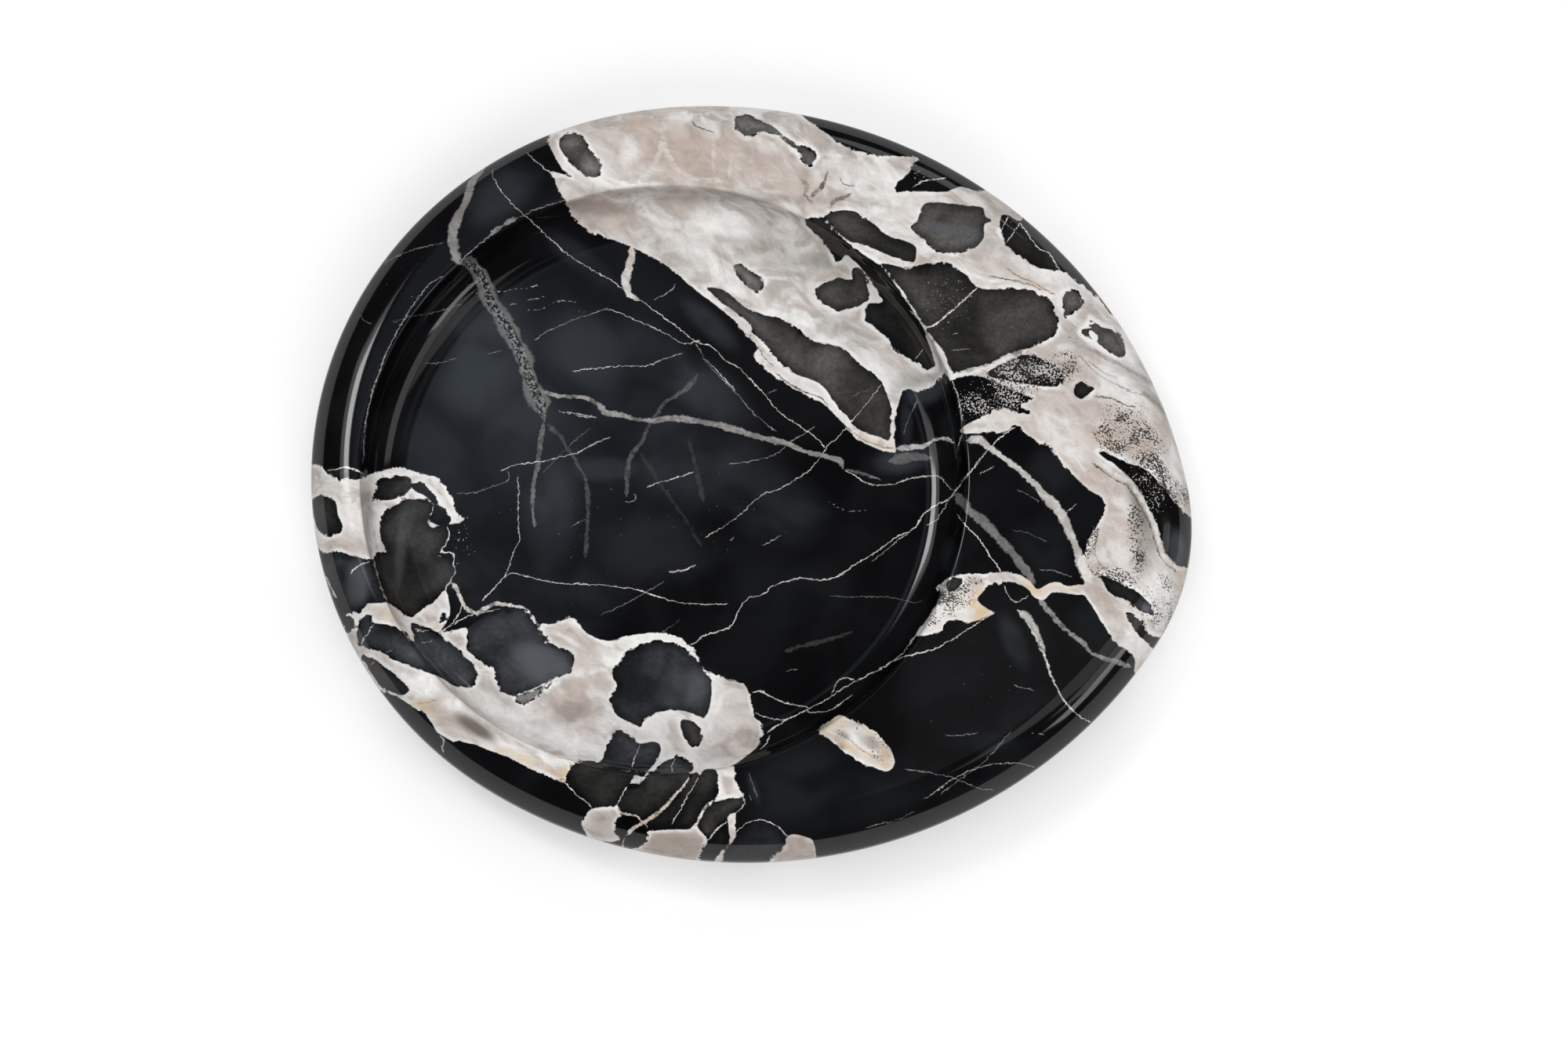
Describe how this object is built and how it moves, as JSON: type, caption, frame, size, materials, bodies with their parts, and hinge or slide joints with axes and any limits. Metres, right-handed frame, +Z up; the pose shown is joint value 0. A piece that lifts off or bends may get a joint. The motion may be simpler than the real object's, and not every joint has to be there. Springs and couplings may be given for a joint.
{
  "type": "marble ashtray",
  "caption": "Egg-shaped polished marble ashtray with a full round edge, a shallow off-centre round bowl and a broad flat shelf, standing on felt pads.",
  "frame": {"origin": "on the table, under the middle of the slab's bounding box", "axes": "+X along the egg's long axis towards its narrow end, +Z up, the bowl opening upwards"},
  "size_m": [0.22, 0.1922, 0.028],
  "materials": {
    "marble": "polished",
    "felt": "matte",
    "adhesive": "satin"
  },
  "bodies": {
    "root": {"marble_body": "marble", "felt_pad_wide_back": "felt", "felt_pad_wide_front": "felt", "felt_pad_narrow_back": "felt", "felt_pad_narrow_front": "felt", "adhesive_disc_wide_back": "adhesive", "adhesive_disc_wide_front": "adhesive", "adhesive_disc_narrow_back": "adhesive", "adhesive_disc_narrow_front": "adhesive"}
  },
  "joints": []
}
